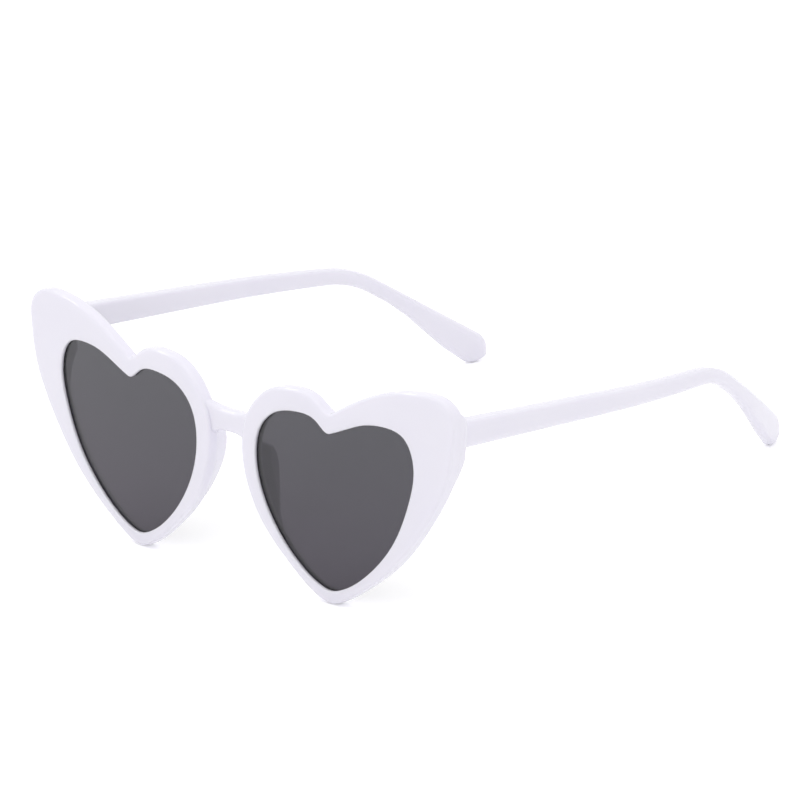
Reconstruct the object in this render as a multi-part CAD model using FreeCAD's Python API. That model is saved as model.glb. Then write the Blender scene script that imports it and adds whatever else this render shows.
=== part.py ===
import FreeCAD, Part
import os
from math import cos, degrees, pi, radians, sin, sqrt

os.makedirs("parts", exist_ok=True)
V = FreeCAD.Vector

# Lenses, in millimetres
LENS_WIDTH = 52.0
LENS_HEIGHT = 44.6
LENS_GAP = 20.7
LENS_THICKNESS = 1.8
LENS_FIT = 0.05
GROOVE_DEPTH = 0.8
GROOVE_LIP = 0.8

# Moulded front
FRONT_RADIUS = 660.0
RIM_THICKNESS = 3.4
RIM_TIP = 3.3
RIM_NASAL = 4.8
RIM_TEMPORAL = 12.5
BROW_RISE = 10.2
FRONT_ROUND = 0.8
BACK_ROUND = 0.8
OPENING_ROUND = 0.35

# Bridge and nose pads
BRIDGE_DROP = 6.6
BRIDGE_HEIGHT = 5.4
BRIDGE_SETBACK = 1.3
BRIDGE_THICKNESS = 3.2
BRIDGE_RISE = 1.6
BRIDGE_SKIRT = 3.0
BRIDGE_ROUND = 0.9
PAD_DEPTH = 9.4
PAD_HEIGHT = 25.0
PAD_WIDTH = 2.6
PAD_END_DEPTH = 3.5
PAD_ROUND = 1.0
PAD_SPLAY = 22
PAD_FULLNESS = 0.5

# End pieces and hinges
END_THICKNESS = 4.8
END_HEIGHT = 9.0
END_LENGTH = 13.0
END_ROUND = 0.7
END_INSET = 0.1
END_STEP = 1.9
END_FADE = 13.0
STOP_GAP = 0.1
HINGE_RISE = 0.4
KNUCKLE_RADIUS = 1.5
KNUCKLE_HEIGHT = 1.9
KNUCKLE_GAP = 0.1
KNUCKLE_CLEARANCE = 0.35
LEAF_THICKNESS = 1.0
LEAF_LENGTH = 5.6
LEAF_FIT = 0.03
SCREW_RADIUS = 0.6
SCREW_FIT = 0.03
SCREW_HEAD_RADIUS = 1.15
SCREW_HEAD_HEIGHT = 0.7
SCREW_SLOT_WIDTH = 0.35
SCREW_SLOT_DEPTH = 0.35

# Temples: lengths and places run along their top outer edge, angles are in degrees
TEMPLE_THICKNESS = 4.2
TIP_THICKNESS = 3.2
TEMPLE_HEIGHT = 6.8
EAR_HEIGHT = 3.9
PADDLE_HEIGHT = 8.1
TEMPLE_LENGTH = 140.8
BOW_AT = 50.6
EAR_AT = 95.1
SWELL_AT = 108.3
BEND_RADIUS = 32.0
BOW_RADIUS = 192.5
TEMPLE_ROUND = 0.8
HOOK_ROUND = 1.7
TEMPLE_CROWN = 1.3
TOE_IN = 1.3
SHANK_SLOPE = 5.5
HOOK_ANGLE = 32.9
BOW_TURN = 24.8

# Heart shapes: 0 to 1 runs across or up the lens, and past that across a rim
OPENING = [
    (0.488, 0.890), (0.561, 0.923), (0.694, 0.982), (0.821, 1.000), (0.940, 0.966),
    (0.998, 0.832), (0.973, 0.630), (0.871, 0.370), (0.686, 0.135), (0.517, 0.016),
    (0.453, 0.000), (0.388, 0.018), (0.245, 0.123), (0.076, 0.359), (0.001, 0.630),
    (0.035, 0.827), (0.132, 0.928), (0.282, 0.966), (0.407, 0.937),
]
OUTLINE = [
    (0.493, 1.010), (0.570, 1.235), (0.724, 1.630), (0.878, 1.890), (1.130, 1.990),
    (1.700, 1.910), (1.975, 1.610), (2.000, 1.000), (1.883, 0.820), (1.594, 0.641),
    (1.172, 0.462), (0.917, 0.283), (0.738, 0.103), (0.580, -0.250), (0.455, -1.000),
    (0.330, -0.300), (0.189, 0.103), (0.033, 0.283), (-0.617, 0.473), (-0.990, 0.686),
    (-0.780, 0.832), (-0.096, 0.955), (0.099, 1.235), (0.253, 1.390), (0.407, 1.200),
]

# Working values: how far tools reach, how far a rounding starts past its face, the steps in
# a quarter round, the slices of a loft, the steps along a temple, and two tolerances
REACH = 30.0
PAST = 0.02
ROUND_STEPS = 3
SLICES = 12
PATH_STEPS = 200
EDGE_POINTS = 400
FACET = 0.05

# Sizes that follow from those above
lens_top = RIM_TIP + LENS_HEIGHT
curve_z = RIM_TIP + LENS_HEIGHT / 2
nasal_x = LENS_GAP / 2 - RIM_NASAL
side_x = LENS_GAP / 2 + LENS_WIDTH + RIM_TEMPORAL
bridge_low = lens_top - BRIDGE_DROP - BRIDGE_HEIGHT
hinge_z = lens_top + HINGE_RISE
temple_out = side_x - END_STEP
temple_in = temple_out - TEMPLE_THICKNESS
bend_length = BEND_RADIUS * radians(HOOK_ANGLE - SHANK_SLOPE)
bow_length = BOW_RADIUS * radians(BOW_TURN)
bend_start = EAR_AT - bend_length / 2
bend_end = EAR_AT + bend_length / 2
paddle_end = TEMPLE_LENGTH - PADDLE_HEIGHT / 2


# Shared shapes
def skin_y(x, z, depth=0.0):
    """How far back the front's curved skin lies, or a skin at a depth under it."""
    radius = FRONT_RADIUS - depth
    return FRONT_RADIUS - sqrt(radius**2 - x**2 - (z - curve_z) ** 2)


stop_y = skin_y(side_x, hinge_z) + END_THICKNESS
axis_x = temple_in - KNUCKLE_CLEARANCE - KNUCKLE_RADIUS
axis_y = stop_y + KNUCKLE_CLEARANCE + KNUCKLE_RADIUS


def spaced(start, end, count):
    """Evenly spaced values from start to end."""
    return [start + (end - start) * index / (count - 1) for index in range(count)]


def spread(share, low, middle, high):
    """Place a share on three lengths in a row: below 0, from 0 to 1, and above 1."""
    if share < 0:
        return share * low
    if share <= 1:
        return share * middle
    return middle + (share - 1) * high


def heart_point(across, up):
    x = LENS_GAP / 2 + spread(across, RIM_NASAL, LENS_WIDTH, RIM_TEMPORAL)
    z = RIM_TIP + spread(up, RIM_TIP, LENS_HEIGHT, BROW_RISE)
    return V(x, 0, z)


def closed_curve(points, steps):
    curve = Part.BSplineCurve()
    curve.interpolate(Points=points, Parameters=steps, PeriodicFlag=True)
    return curve


def heart_stations(shape):
    """Points of a heart, their outward normals and their places along its curve."""
    points = [heart_point(across, up) for across, up in shape]
    steps = [0.0]
    for here, there in zip(points, points[1:] + points[:1]):
        steps.append(steps[-1] + (there - here).Length)
    curve = closed_curve(points, steps)
    tangents = [curve.tangent(step)[0] for step in steps[:-1]]
    normals = [V(-tangent.z, 0, tangent.x) for tangent in tangents]
    return points, normals, steps


def heart_loop(shape, grow, depth=None, y=None):
    """Heart moved outwards by grow, on a skin at a depth or on a plane at y."""
    points, normals, steps = heart_stations(shape)
    moved = []
    for point, normal in zip(points, normals):
        place = point + normal * grow
        place.y = skin_y(place.x, place.z, depth) if y is None else y
        moved.append(place)
    return Part.Wire([closed_curve(moved, steps).toShape()])


def heart_solid(shape, stops):
    """Solid through a heart drawn at (grow, depth) stops, run on past both ends."""
    loops = [heart_loop(shape, stops[0][0], y=-REACH)]
    loops += [heart_loop(shape, grow, depth) for grow, depth in stops]
    loops.append(heart_loop(shape, stops[-1][0], y=REACH))
    return Part.makeLoft(loops, True, True)


def quarter_round(radius):
    """Steps of a quarter circle: (distance in from the wall, distance under the face)."""
    angles = spaced(0, pi / 2, ROUND_STEPS + 1)
    return [(radius * (1 - sin(angle)), radius * (1 - cos(angle)) - PAST) for angle in angles]


def ball(depth):
    """Solid inside the front's curved skin, at a depth under it."""
    return Part.makeSphere(FRONT_RADIUS - depth, V(0, FRONT_RADIUS, curve_z))


def box(x, y, z):
    """Box between two values on each axis."""
    return Part.makeBox(x[1] - x[0], y[1] - y[0], z[1] - z[0], V(x[0], y[0], z[0]))


def rectangle(x, y, z):
    """Outline on a plane at y between two values of x and of z."""
    corners = [V(x[0], y, z[0]), V(x[1], y, z[0]), V(x[1], y, z[1]), V(x[0], y, z[1])]
    return Part.makePolygon(corners + corners[:1])


def rounded_section(centre, across, up, width, height, rounds):
    """Closed rectangle on two directions, with a rounding for its far and its near corners."""
    points = []
    for side, rise, first in ((1, 1, 0), (-1, 1, pi / 2), (-1, -1, pi), (1, -1, 3 * pi / 2)):
        radius = min(rounds[0] if side > 0 else rounds[1], (width - PAST) / 2, (height - PAST) / 2)
        hub = centre + across * (side * (width / 2 - radius)) + up * (rise * (height / 2 - radius))
        for angle in spaced(first, first + pi / 2, ROUND_STEPS + 1):
            points.append(hub + across * (radius * cos(angle)) + up * (radius * sin(angle)))
    return Part.makePolygon(points + points[:1])


def mirrored(shape):
    return shape.mirror(V(0, 0, 0), V(1, 0, 0))


# Moulded front
def heart_plate():
    """One heart with rounded edges, before its lens opening is cut."""
    stops = [(-inset, depth) for inset, depth in quarter_round(FRONT_ROUND)]
    back = [(-inset, RIM_THICKNESS - depth) for inset, depth in quarter_round(BACK_ROUND)]
    plate = heart_solid(OUTLINE, stops + back[::-1])
    return plate.common(ball(0)).cut(ball(RIM_THICKNESS))


def lens_opening():
    """Opening through the heart, eased at its front edge."""
    return heart_solid(OPENING, quarter_round(OPENING_ROUND))


def lens_band(grow, front, thickness):
    """Curved heart-shaped slice: the lens, or the groove round it."""
    blank = heart_solid(OPENING, [(grow, 0), (grow, RIM_THICKNESS)])
    return blank.common(ball(front)).cut(ball(front + thickness))


def lens_groove():
    return lens_band(GROOVE_DEPTH, GROOVE_LIP, LENS_THICKNESS + 2 * LENS_FIT)


def lens():
    """Curved lens that fills its groove but for the fit."""
    return lens_band(GROOVE_DEPTH - LENS_FIT, GROOVE_LIP + LENS_FIT, LENS_THICKNESS)


def nasal_edge(height):
    """Where the heart's nasal side lies at a height."""
    points = heart_loop(OUTLINE, 0, y=0).discretize(EDGE_POINTS)
    tip_x = heart_point(*min(OUTLINE, key=lambda point: point[1])).x
    nasal = [point for point in points if point.x < tip_x]
    return min(nasal, key=lambda point: abs(point.z - height)).x


def nose_pad():
    """Blade behind the nasal rim, splayed to lie against the side of a nose."""
    root = RIM_THICKNESS / 2
    splay = radians(PAD_SPLAY)
    back = V(sin(splay), cos(splay), 0)
    across = V(cos(splay), -sin(splay), 0)
    slices = []
    for share in spaced(0, 1, SLICES):
        z = bridge_low - share * PAD_HEIGHT
        swell = sin(pi * share**PAD_FULLNESS)
        length = PAD_END_DEPTH + (PAD_DEPTH - PAD_END_DEPTH) * swell - root
        middle = V(nasal_edge(z) + PAD_WIDTH / 2, root, z) + back * (length / 2)
        slices.append(rounded_section(middle, across, back, PAD_WIDTH, length, (PAD_ROUND, PAD_ROUND)))
    return Part.makeLoft(slices, True, True)


def bridge():
    """Set-back bar between the hearts, flared and brought forward where it runs into them."""
    root = nasal_x + RIM_NASAL / 2
    root_setback = FRONT_ROUND / 2
    root_thickness = RIM_THICKNESS - root_setback - BACK_ROUND / 2
    rounds = (BRIDGE_ROUND, BRIDGE_ROUND)
    slices = []
    for share in spaced(-1, 1, 2 * SLICES):
        x = share * root
        flare = abs(share) ** 3
        low = bridge_low - BRIDGE_SKIRT * flare
        height = bridge_low + BRIDGE_HEIGHT + BRIDGE_RISE * flare - low
        setback = BRIDGE_SETBACK + (root_setback - BRIDGE_SETBACK) * flare
        thickness = BRIDGE_THICKNESS + (root_thickness - BRIDGE_THICKNESS) * flare
        z = low + height / 2
        centre = V(x, skin_y(x, z, setback + thickness / 2), z)
        slices.append(rounded_section(centre, V(0, 1, 0), V(0, 0, 1), thickness, height, rounds))
    return Part.makeLoft(slices, True, True)


def end_piece():
    """Thick corner behind the brow that the temple stops against."""
    low = hinge_z - END_HEIGHT / 2
    top = hinge_z + END_HEIGHT / 2
    inner = side_x - END_LENGTH
    root = skin_y(side_x, hinge_z, FRONT_ROUND)
    slope = stop_y - root
    foot = rectangle((inner - slope, side_x + REACH), root, (low - END_FADE, top + slope))
    seat = rectangle((inner, side_x + REACH), stop_y, (low, top))
    wedge = Part.makeLoft([foot, seat], True, True)
    loops = [heart_loop(OUTLINE, -END_INSET, y=root)]
    for inset, under in quarter_round(END_ROUND)[::-1]:
        loops.append(heart_loop(OUTLINE, -END_INSET - inset, y=stop_y - under))
    return wedge.common(Part.makeLoft(loops, True, True))


# Hinges
def knuckle_levels():
    """Bottom of each of the three knuckles, from the lowest up."""
    pitch = KNUCKLE_HEIGHT + KNUCKLE_GAP
    low = hinge_z - KNUCKLE_HEIGHT / 2 - pitch
    return [low + index * pitch for index in range(3)]


def knuckle(level, on_front):
    """Knuckle and the neck that joins it to its leaf."""
    radius = KNUCKLE_RADIUS
    span = KNUCKLE_RADIUS + KNUCKLE_CLEARANCE
    levels = (level, level + KNUCKLE_HEIGHT)
    post = Part.makeCylinder(radius, KNUCKLE_HEIGHT, V(axis_x, axis_y, level))
    if on_front:
        neck = box((axis_x - radius, axis_x + radius), (axis_y - span, axis_y), levels)
    else:
        neck = box((axis_x, axis_x + span), (axis_y - radius, axis_y + radius), levels)
    return post.fuse(neck)


def leaf_levels(fit=0.0):
    levels = knuckle_levels()
    return levels[0] - fit, levels[2] + KNUCKLE_HEIGHT + fit


def front_leaf_plate(fit=0.0):
    """Plate let into the back of the end piece, or its pocket with a fit round it."""
    outer = axis_x + KNUCKLE_RADIUS
    x = (outer - LEAF_LENGTH - fit, outer + fit)
    return box(x, (stop_y - LEAF_THICKNESS - fit, stop_y), leaf_levels(fit))


def temple_leaf_plate(fit=0.0, clear=0.0):
    """Plate let into the inner face of the temple, or its pocket with a fit round it."""
    start = axis_y - KNUCKLE_RADIUS
    level = knuckle_levels()[1]
    x = (temple_in - clear, temple_in + LEAF_THICKNESS + fit)
    y = (start - fit, start + LEAF_LENGTH + fit)
    z = (level - KNUCKLE_HEIGHT / 2 - fit, level + KNUCKLE_HEIGHT * 3 / 2 + fit)
    return box(x, y, z)


def screw_hole():
    low, high = leaf_levels(KNUCKLE_HEIGHT)
    return Part.makeCylinder(SCREW_RADIUS + SCREW_FIT, high - low, V(axis_x, axis_y, low))


def front_hinge():
    levels = knuckle_levels()
    leaf = front_leaf_plate().fuse([knuckle(levels[0], True), knuckle(levels[2], True)])
    return leaf.removeSplitter().cut(screw_hole())


def temple_hinge():
    leaf = temple_leaf_plate().fuse(knuckle(knuckle_levels()[1], False))
    return leaf.removeSplitter().cut(screw_hole())


def hinge_screw():
    """Slotted screw, its head on the upper knuckle."""
    low, high = leaf_levels()
    top = high + SCREW_HEAD_HEIGHT
    shaft = Part.makeCylinder(SCREW_RADIUS, high - low, V(axis_x, axis_y, low))
    head = Part.makeCylinder(SCREW_HEAD_RADIUS, SCREW_HEAD_HEIGHT, V(axis_x, axis_y, high))
    slot_x = (axis_x - SCREW_HEAD_RADIUS, axis_x + SCREW_HEAD_RADIUS)
    slot_y = (axis_y - SCREW_SLOT_WIDTH / 2, axis_y + SCREW_SLOT_WIDTH / 2)
    return shaft.fuse(head).cut(box(slot_x, slot_y, (top - SCREW_SLOT_DEPTH, top)))


def frame_front():
    """Both hearts with their end pieces, nose pads and lens grooves, joined by the bridge."""
    half = heart_plate().fuse([end_piece(), nose_pad()])
    half = half.cut(lens_opening()).cut(lens_groove())
    half = half.cut(front_leaf_plate(LEAF_FIT))
    return half.fuse([mirrored(half), bridge()])


# Temples
def ramp(value, start, end):
    """Share of the way from start to end, held at 0 before and 1 after."""
    return min(1.0, max(0.0, (value - start) / (end - start)))


def temple_turns(station):
    """Inward heading and downward slope of the temple at a place along it."""
    heading = radians(TOE_IN + BOW_TURN * ramp(station, BOW_AT, BOW_AT + bow_length))
    bend = ramp(station, bend_start, bend_end)
    return heading, radians(SHANK_SLOPE + (HOOK_ANGLE - SHANK_SLOPE) * bend)


def temple_edge(station):
    """Point on the top outer edge, followed step by step from the hinge end."""
    place = V(temple_out, stop_y + STOP_GAP, hinge_z + TEMPLE_HEIGHT / 2)
    step = station / PATH_STEPS
    for index in range(PATH_STEPS):
        heading, slope = temple_turns((index + 0.5) * step)
        flat = cos(slope) * step
        place = place + V(-sin(heading) * flat, cos(heading) * flat, -sin(slope) * step)
    return place


def temple_height(station):
    """Height under the top edge: tapered to the ear, then swelling into the paddle."""
    shank = TEMPLE_HEIGHT + (EAR_HEIGHT - TEMPLE_HEIGHT) * ramp(station, 0, EAR_AT)
    swell = ramp(station, SWELL_AT, paddle_end)
    return shank + (PADDLE_HEIGHT - EAR_HEIGHT) * swell**2 * (3 - 2 * swell)


def temple_section(station):
    """Rounded section across the temple, upright at its hinge end and shrinking round its tip."""
    heading, slope = temple_turns(station)
    across = V(cos(heading), sin(heading), 0)
    up = V(-sin(heading) * sin(slope), cos(heading) * sin(slope), cos(slope))
    if station == 0:
        across, up = V(1, 0, 0), V(0, 0, 1)
    height = temple_height(station)
    width = TEMPLE_THICKNESS + (TIP_THICKNESS - TEMPLE_THICKNESS) * station / TEMPLE_LENGTH
    centre = temple_edge(station) - across * (width / 2) - up * (height / 2)
    round_tip = sqrt(1 - ramp(station, paddle_end, TEMPLE_LENGTH) ** 2)
    inner = TEMPLE_ROUND + (HOOK_ROUND - TEMPLE_ROUND) * ramp(station, bend_start, paddle_end)
    return rounded_section(centre, across, up, width, height * round_tip, (TEMPLE_CROWN, inner))


def temple():
    """Rounded blade with a pocket for its hinge leaf."""
    stations = [0] + spaced(BOW_AT, bend_start, 5)
    stations += spaced(bend_start, bend_end, 6)[1:]
    stations += spaced(bend_end, paddle_end, 6)[1:]
    for angle in spaced(0, pi / 2, SLICES)[2:-1:2]:
        stations.append(paddle_end + PADDLE_HEIGHT / 2 * sin(angle))
    blade = Part.makeLoft([temple_section(station) for station in stations], True, True)
    return blade.cut(temple_leaf_plate(LEAF_FIT, KNUCKLE_CLEARANCE))


# Standing at rest on the heart tips and the temple tips
def turned_height(point, lean):
    return point.z * cos(lean) - point.y * sin(lean)


def lowest(points, lean):
    return min(turned_height(point, lean) for point in points)


def resting_lean(front_points, temple_points):
    """Find the lean at which the front and the temples are equally low."""
    small, large = 0.0, pi / 6
    while large - small > FACET / REACH / EDGE_POINTS:
        lean = (small + large) / 2
        if lowest(temple_points, lean) > lowest(front_points, lean):
            small = lean
        else:
            large = lean
    return lean


one_side = {
    "lens": lens(),
    "temple": temple(),
    "front_hinge": front_hinge(),
    "temple_hinge": temple_hinge(),
    "hinge_screw": hinge_screw(),
}
nodes = {"frame_front": frame_front()}
for name, shape in one_side.items():
    nodes[name + "_left"] = shape
    nodes[name + "_right"] = mirrored(shape)

front_points = nodes["frame_front"].tessellate(FACET)[0]
temple_points = nodes["temple_left"].tessellate(FACET)[0]
lean = resting_lean(front_points, temple_points)
depths = [point.y * cos(lean) + point.z * sin(lean) for point in front_points + temple_points]
settle = V(0, -(min(depths) + max(depths)) / 2, -lowest(front_points, lean))


def settled(shape):
    """Leaned back and moved so that it stands on the ground, centred on the origin."""
    placed = shape.copy()
    placed.rotate(V(0, 0, 0), V(1, 0, 0), -degrees(lean))
    placed.translate(settle)
    return placed


for name, shape in nodes.items():
    Part.makeCompound(settled(shape).Solids).exportStep("parts/" + name + ".step")

hinge_point = settled(Part.Vertex(axis_x, axis_y, hinge_z)).Point
print("lean", degrees(lean), "hinge axis through", hinge_point)
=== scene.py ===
from math import cos, radians, sin

import bpy
from mathutils import Matrix, Vector


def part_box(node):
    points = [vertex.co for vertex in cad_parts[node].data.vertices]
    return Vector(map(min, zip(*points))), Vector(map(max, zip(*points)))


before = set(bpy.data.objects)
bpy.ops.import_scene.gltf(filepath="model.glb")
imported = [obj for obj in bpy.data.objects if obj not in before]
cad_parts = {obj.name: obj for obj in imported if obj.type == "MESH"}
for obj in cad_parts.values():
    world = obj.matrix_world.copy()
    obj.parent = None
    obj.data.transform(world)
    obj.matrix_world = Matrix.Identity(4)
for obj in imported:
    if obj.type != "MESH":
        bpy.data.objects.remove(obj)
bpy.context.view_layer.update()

# Camera: where it looks, from which side, and how far away, in metres and degrees
AIM = (0.02035, -0.02719, 0.03589)
AZIMUTH = 48.0
ELEVATION = 20.94
ROLL = -5.86
DISTANCE = 2.0376
CLIP_END = 10 * DISTANCE
FOCAL_LENGTH_MM = 379.0

# Studio: a floor with a slight glow where it is seen, even light all round, and lamps,
# in metres and watts
WHITE = (1, 1, 1, 1)
FLOOR_SIZE = 6.0
FLOOR_COLOUR = (0.95, 0.95, 0.95, 1)
FLOOR_ROUGHNESS = 0.9
FLOOR_SPECULAR = 0.0
FLOOR_GLOW = 0.27
SKY_LIGHT = 0.912
SKY_SEEN = 1.0
LAMPS = {
    "top_softbox": {"place": (0.03, -0.06, 0.27), "size": 0.12, "power": 0.05},
    "front_softbox": {"place": (-1.0, -0.45, 1.0), "size": 0.3, "power": 1.3},
    "back_softbox": {"place": (0.02, 0.59, 0.82), "size": 0.06, "power": 0.25},
}

# In all the finishes, a noise has so many cells per metre, and depths and radii are in metres.
# Noise seldom leaves the band between these two values.
NOISE_LOW = 0.3
NOISE_HIGH = 0.7

# White plastic, into which light sinks a little
PLASTIC_LIGHT = (0.875, 0.855, 0.985, 1)
PLASTIC_DEEP = (0.86, 0.84, 0.97, 1)
PLASTIC_PATCHES = {"scale": 45, "detail": 2}
PLASTIC_POLISH = {"scale": 160, "detail": 4}
PLASTIC_ROUGHNESS = (0.08, 0.16)
PLASTIC_WAVES = {"scale": 220, "detail": 1}
PLASTIC_WAVE_DEPTH = 0.000004
PLASTIC_EDGE = 0.0005
PLASTIC_IOR = 1.49
SINK_SHARE = 0.6
SINK_DEPTH = 0.001
SINK_COLOURS = (1.0, 1.0, 1.0)

# Tinted lenses, with a painted reflection: the tint is painted lighter towards the top and
# darker towards the bottom
LENS_TOP_PAINTED_LIGHTER = (0.061, 0.060, 0.071, 1)
LENS_BOTTOM_PAINTED_DARKER = (0.048, 0.040, 0.057, 1)
LENS_POLISH = {"scale": 90, "detail": 4}
LENS_ROUGHNESS = (0.01, 0.04)
LENS_IOR = 1.5

# Steel of the hinges and their screws, with marks that lie close together along Z
STEEL_EDGE = 0.0001
HINGE_FINISH = {
    "dark": (0.46, 0.46, 0.48, 1),
    "light": (0.66, 0.66, 0.67, 1),
    "marks": {"scale": 900, "detail": 3, "stretch": (1, 1, 12)},
    "roughness": (0.22, 0.42),
    "depth": 0.00001,
}
SCREW_FINISH = {
    "dark": (0.60, 0.60, 0.61, 1),
    "light": (0.74, 0.74, 0.75, 1),
    "marks": {"scale": 300, "detail": 2, "stretch": (1, 1, 30)},
    "roughness": (0.12, 0.26),
    "depth": 0.000004,
}


# Materials
class Recipe:
    """A material's node tree, with short ways to add and join nodes."""

    def __init__(self, name):
        self.material = bpy.data.materials.new(name)
        self.material.use_nodes = True
        self.tree = self.material.node_tree
        self.shader = self.tree.nodes["Principled BSDF"]
        self.place = self.tree.nodes.new("ShaderNodeTexCoord").outputs["Object"]

    def join(self, source, target):
        self.tree.links.new(source, target)

    def add(self, kind, **values):
        """New node with these values on its inputs."""
        node = self.tree.nodes.new(kind)
        for name, value in values.items():
            node.inputs[name].default_value = value
        return node

    def set(self, name, value):
        """Same value all over the surface, on the shader's own socket."""
        self.shader.inputs[name].default_value = value

    def feed(self, name, source):
        """Value that varies over the surface."""
        self.join(source, self.shader.inputs[name])

    def noise(self, scale, detail, stretch=(1, 1, 1)):
        """Noise of that many cells per metre, packed closer along an axis by stretch."""
        mapping = self.add("ShaderNodeMapping", Scale=stretch)
        self.join(self.place, mapping.inputs["Vector"])
        node = self.add("ShaderNodeTexNoise", Scale=scale, Detail=detail)
        self.join(mapping.outputs["Vector"], node.inputs["Vector"])
        return node.outputs["Fac"]

    def ramp(self, source, low, high, start=NOISE_LOW, end=NOISE_HIGH):
        """Colour that runs from low to high as the source runs from start to end."""
        node = self.add("ShaderNodeValToRGB")
        first, last = node.color_ramp.elements
        first.position, last.position = start, end
        first.color, last.color = low, high
        self.join(source, node.inputs["Fac"])
        return node.outputs["Color"]

    def spread(self, source, low, high, start=NOISE_LOW, end=NOISE_HIGH):
        """Value that runs from low to high as the source runs from start to end."""
        limits = {"From Min": start, "From Max": end, "To Min": low, "To Max": high}
        node = self.add("ShaderNodeMapRange", **limits)
        self.join(source, node.inputs["Value"])
        return node.outputs["Result"]

    def bump(self, source, depth, edge_radius):
        """Relief of that depth, over edges that shade as if rounded to that radius."""
        edge = self.add("ShaderNodeBevel", Radius=edge_radius)
        node = self.add("ShaderNodeBump", Distance=depth)
        self.join(source, node.inputs["Height"])
        self.join(edge.outputs["Normal"], node.inputs["Normal"])
        self.feed("Normal", node.outputs["Normal"])


def moulded_plastic():
    """Glossy white moulding with a faint lavender cast and slightly uneven polish."""
    recipe = Recipe("white_moulded_plastic")
    patches = recipe.noise(**PLASTIC_PATCHES)
    recipe.feed("Base Color", recipe.ramp(patches, PLASTIC_DEEP, PLASTIC_LIGHT))
    polish = recipe.noise(**PLASTIC_POLISH)
    recipe.feed("Roughness", recipe.spread(polish, *PLASTIC_ROUGHNESS))
    recipe.bump(recipe.noise(**PLASTIC_WAVES), PLASTIC_WAVE_DEPTH, PLASTIC_EDGE)
    recipe.set("IOR", PLASTIC_IOR)
    recipe.set("Subsurface Weight", SINK_SHARE)
    recipe.set("Subsurface Radius", SINK_COLOURS)
    recipe.set("Subsurface Scale", SINK_DEPTH)
    return recipe.material


def tinted_lens():
    """Polished grey sun lens, a little lighter towards its top, which is a painted reflection.
    """
    recipe = Recipe("tinted_sun_lens")
    split = recipe.add("ShaderNodeSeparateXYZ")
    recipe.join(recipe.place, split.inputs["Vector"])
    # Painted reflection: the tint runs from darker at the bottom of the lens to lighter at its
    # top
    low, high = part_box("lens_left")
    rise = recipe.spread(split.outputs["Z"], 0, 1, low.z, high.z)
    recipe.feed("Base Color", recipe.ramp(rise, LENS_BOTTOM_PAINTED_DARKER, LENS_TOP_PAINTED_LIGHTER, 0, 1))
    polish = recipe.noise(**LENS_POLISH)
    recipe.feed("Roughness", recipe.spread(polish, *LENS_ROUGHNESS))
    recipe.set("Transmission Weight", 1.0)
    recipe.set("IOR", LENS_IOR)
    return recipe.material


def machined_steel(name, finish):
    """Steel with the fine marks that brushing or turning leaves."""
    recipe = Recipe(name)
    marks = recipe.noise(**finish["marks"])
    recipe.feed("Base Color", recipe.ramp(marks, finish["dark"], finish["light"]))
    recipe.feed("Roughness", recipe.spread(marks, *finish["roughness"]))
    recipe.bump(marks, finish["depth"], STEEL_EDGE)
    recipe.set("Metallic", 1.0)
    return recipe.material


def dress_nodes():
    """Give every solid its finish."""
    plastic = moulded_plastic()
    hinge_steel = machined_steel("satin_hinge_steel", HINGE_FINISH)
    finishes = {
        "frame_front": plastic,
        "temple": plastic,
        "lens": tinted_lens(),
        "front_hinge": hinge_steel,
        "temple_hinge": hinge_steel,
        "hinge_screw": machined_steel("turned_screw_steel", SCREW_FINISH),
    }
    for name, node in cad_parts.items():
        kind = name.removesuffix("_left").removesuffix("_right")
        for slot in node.material_slots:
            slot.material = finishes[kind]


# Studio
def seen_directly(tree):
    """1 for rays that show the surface or the sky itself, 0 for rays that light other things."""
    path = tree.nodes.new("ShaderNodeLightPath")
    total = path.outputs["Is Camera Ray"]
    for name in ("Is Glossy Ray", "Is Transmission Ray"):
        either = tree.nodes.new("ShaderNodeMath")
        either.operation = "MAXIMUM"
        tree.links.new(total, either.inputs[0])
        tree.links.new(path.outputs[name], either.inputs[1])
        total = either.outputs["Value"]
    return total


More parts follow.
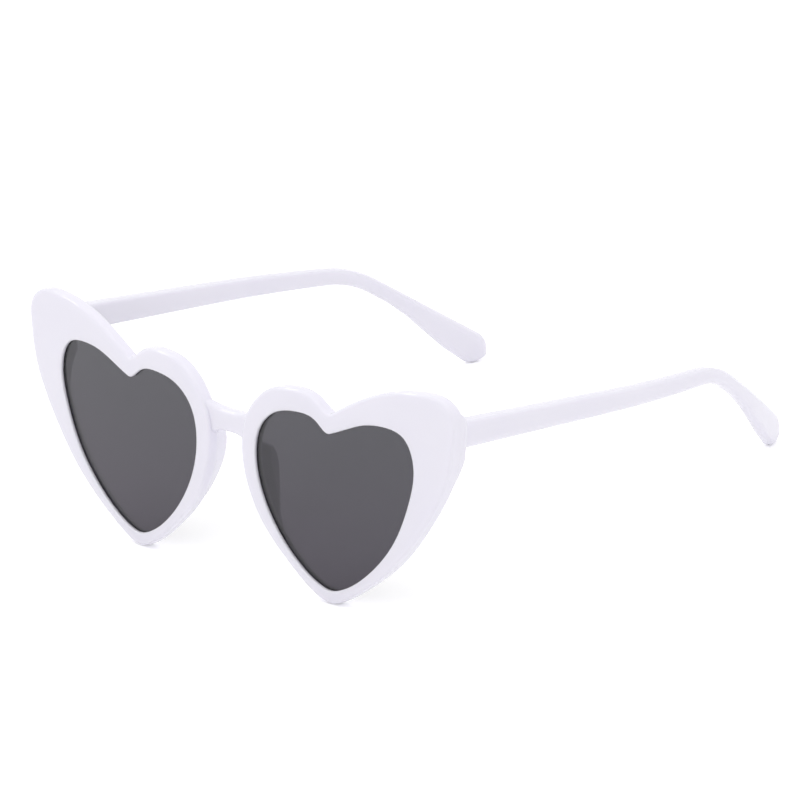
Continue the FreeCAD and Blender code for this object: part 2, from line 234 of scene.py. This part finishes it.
def make_floor():
    """Pale matt floor that shows as white where no shadow falls on it."""
    half = FLOOR_SIZE / 2
    corners = [(-half, -half, 0), (half, -half, 0), (half, half, 0), (-half, half, 0)]
    mesh = bpy.data.meshes.new("studio_floor")
    mesh.from_pydata(corners, [], [(0, 1, 2, 3)])
    floor = bpy.data.objects.new("studio_floor", mesh)
    bpy.context.scene.collection.objects.link(floor)
    material = bpy.data.materials.new("studio_floor")
    material.use_nodes = True
    tree = material.node_tree
    shader = tree.nodes["Principled BSDF"]
    shader.inputs["Base Color"].default_value = FLOOR_COLOUR
    shader.inputs["Roughness"].default_value = FLOOR_ROUGHNESS
    shader.inputs["Specular IOR Level"].default_value = FLOOR_SPECULAR
    shader.inputs["Emission Color"].default_value = WHITE
    glow = tree.nodes.new("ShaderNodeMath")
    glow.operation = "MULTIPLY"
    glow.inputs[1].default_value = FLOOR_GLOW
    tree.links.new(seen_directly(tree), glow.inputs[0])
    tree.links.new(glow.outputs["Value"], shader.inputs["Emission Strength"])
    mesh.materials.append(material)


def make_sky():
    """Even white surroundings, dimmer as a light than as a background."""
    world = bpy.data.worlds.new("studio_sky")
    bpy.context.scene.world = world
    world.use_nodes = True
    tree = world.node_tree
    background = tree.nodes["Background"]
    background.inputs["Color"].default_value = WHITE
    strength = tree.nodes.new("ShaderNodeMapRange")
    strength.inputs["To Min"].default_value = SKY_LIGHT
    strength.inputs["To Max"].default_value = SKY_SEEN
    tree.links.new(seen_directly(tree), strength.inputs["Value"])
    tree.links.new(strength.outputs["Result"], background.inputs["Strength"])


def make_lamps():
    """Square area lamps, each turned to the middle of the view."""
    for name, lamp in LAMPS.items():
        light = bpy.data.lights.new(name, "AREA")
        light.size = lamp["size"]
        light.energy = lamp["power"]
        holder = bpy.data.objects.new(name, light)
        holder.location = lamp["place"]
        facing = Vector(AIM) - Vector(lamp["place"])
        holder.rotation_euler = facing.to_track_quat("-Z", "Y").to_euler()
        bpy.context.scene.collection.objects.link(holder)


def make_camera():
    """Camera on the photograph's line of sight, rolled as the photograph is."""
    turn, rise, roll = radians(AZIMUTH), radians(ELEVATION), radians(ROLL)
    right = Vector((cos(turn), sin(turn), 0))
    back = Vector((sin(turn) * cos(rise), -cos(turn) * cos(rise), sin(rise)))
    up = back.cross(right)
    rolled_right = right * cos(roll) + up * sin(roll)
    rolled_up = up * cos(roll) - right * sin(roll)
    camera = bpy.data.objects.new("camera", bpy.data.cameras.new("camera"))
    camera.data.lens = FOCAL_LENGTH_MM
    camera.data.clip_end = CLIP_END
    place = Matrix((rolled_right, rolled_up, back)).transposed().to_4x4()
    place.translation = Vector(AIM) + back * DISTANCE
    camera.matrix_world = place
    bpy.context.scene.collection.objects.link(camera)
    bpy.context.scene.camera = camera


dress_nodes()
make_floor()
make_sky()
make_lamps()
make_camera()
bpy.context.scene.view_settings.view_transform = "Standard"
